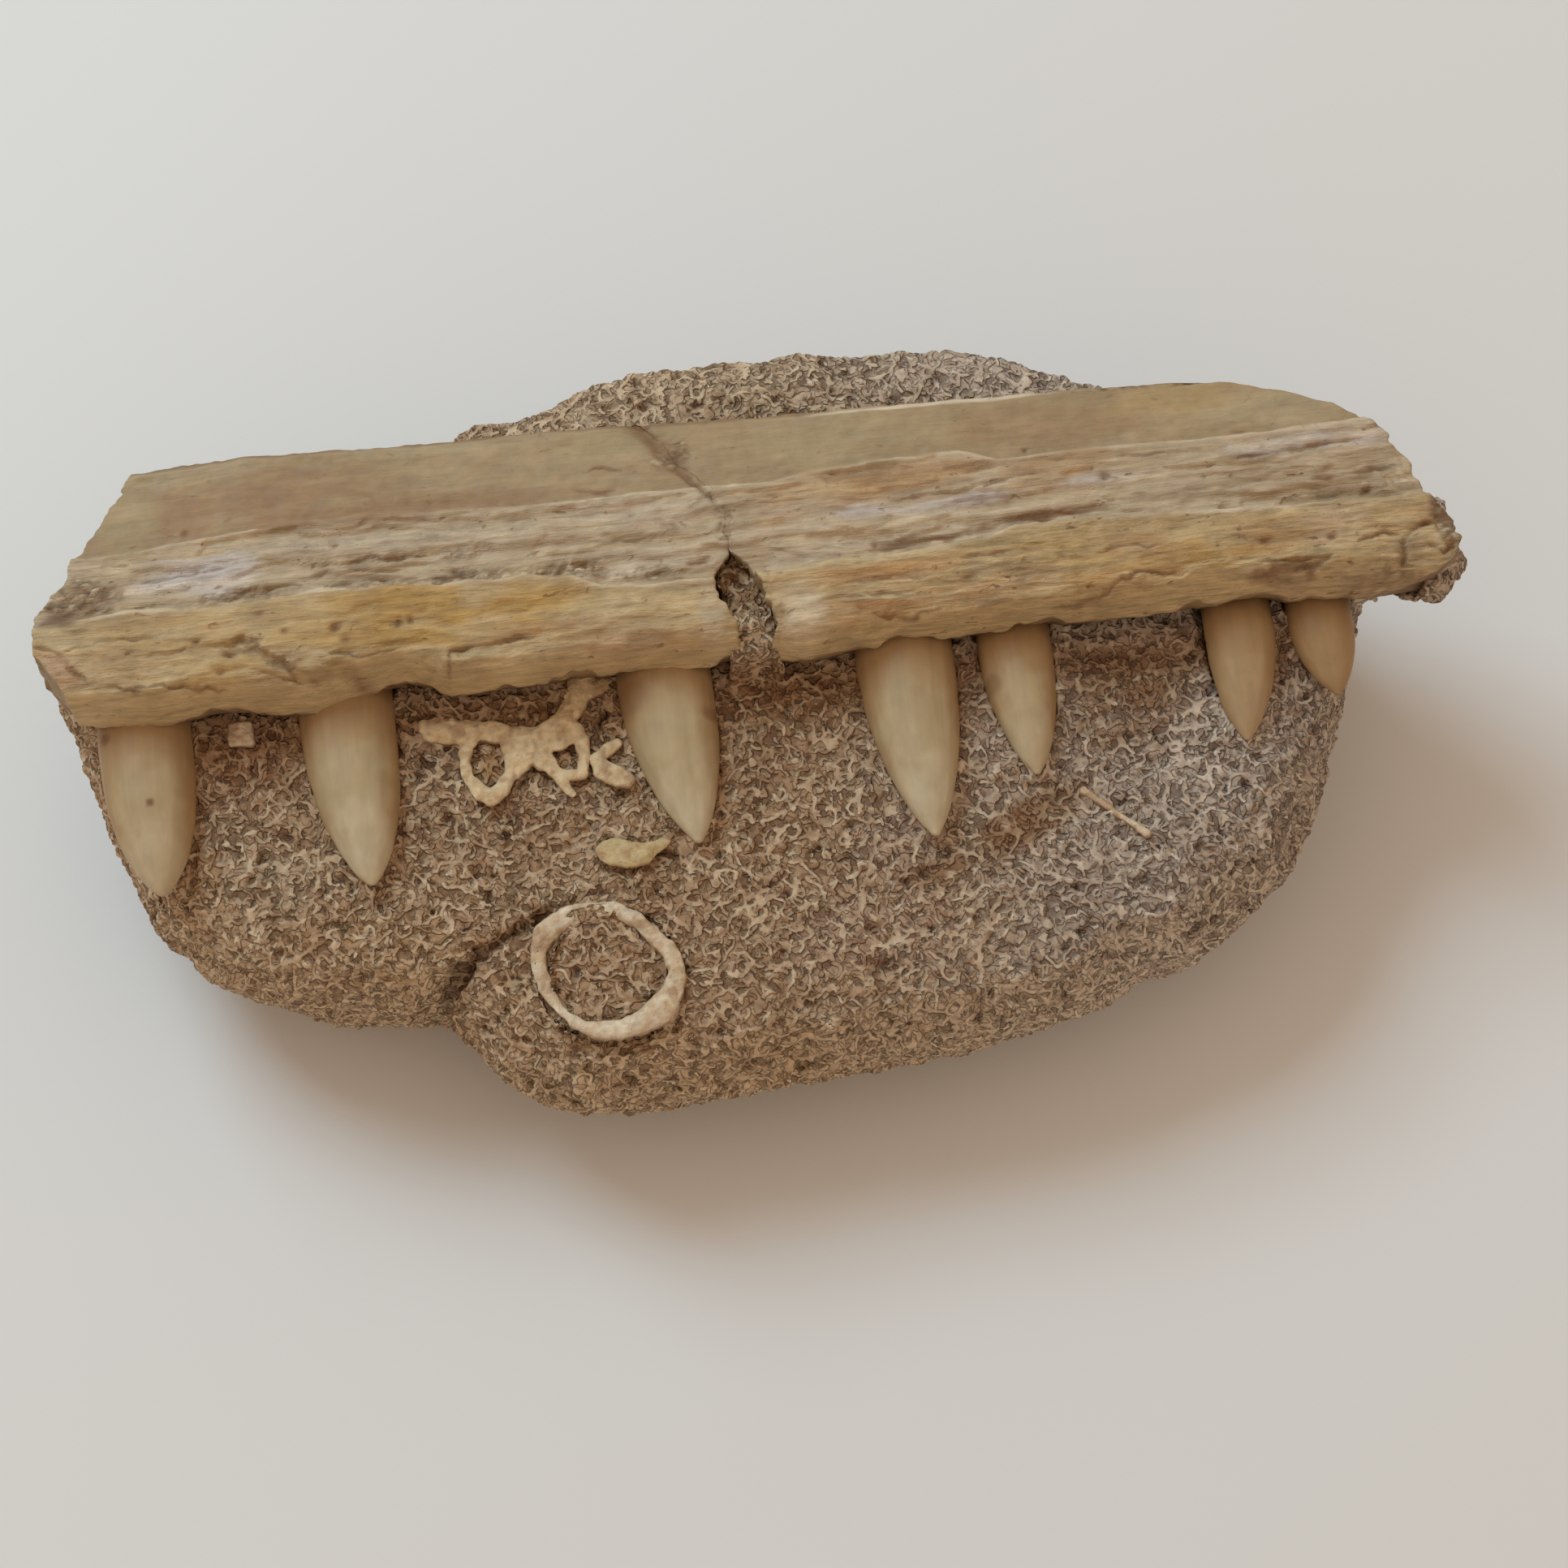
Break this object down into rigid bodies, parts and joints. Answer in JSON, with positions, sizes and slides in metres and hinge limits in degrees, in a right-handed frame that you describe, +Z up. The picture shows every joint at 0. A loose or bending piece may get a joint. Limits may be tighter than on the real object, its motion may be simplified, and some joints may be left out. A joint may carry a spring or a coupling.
{
  "type": "fossil fish jaw",
  "caption": "Length of fossil fish jaw with a row of pointed conical teeth, lying face up on its block of phosphate rock, with small fossils bedded beside the teeth",
  "frame": {"origin": "on the floor plane, under the middle of the whole piece as seen from above", "axes": "+X along the jaw, towards its right end with the small teeth, -Y the way that the teeth point, +Z up out of the face that shows"},
  "size_m": [0.1506, 0.0799, 0.0373],
  "materials": {
    "rock": "matte",
    "bone": "satin",
    "pale_bone": "matte",
    "scale": "satin"
  },
  "bodies": {
    "root": {"jaw_left": "bone", "jaw_right": "bone", "rock_left": "rock", "rock_right": "rock", "rock_fill": "rock", "vertebra_ring": "pale_bone", "web_bone": "pale_bone", "bone_chip": "pale_bone", "spine_rod": "pale_bone", "fish_scale": "scale"}
  },
  "joints": []
}
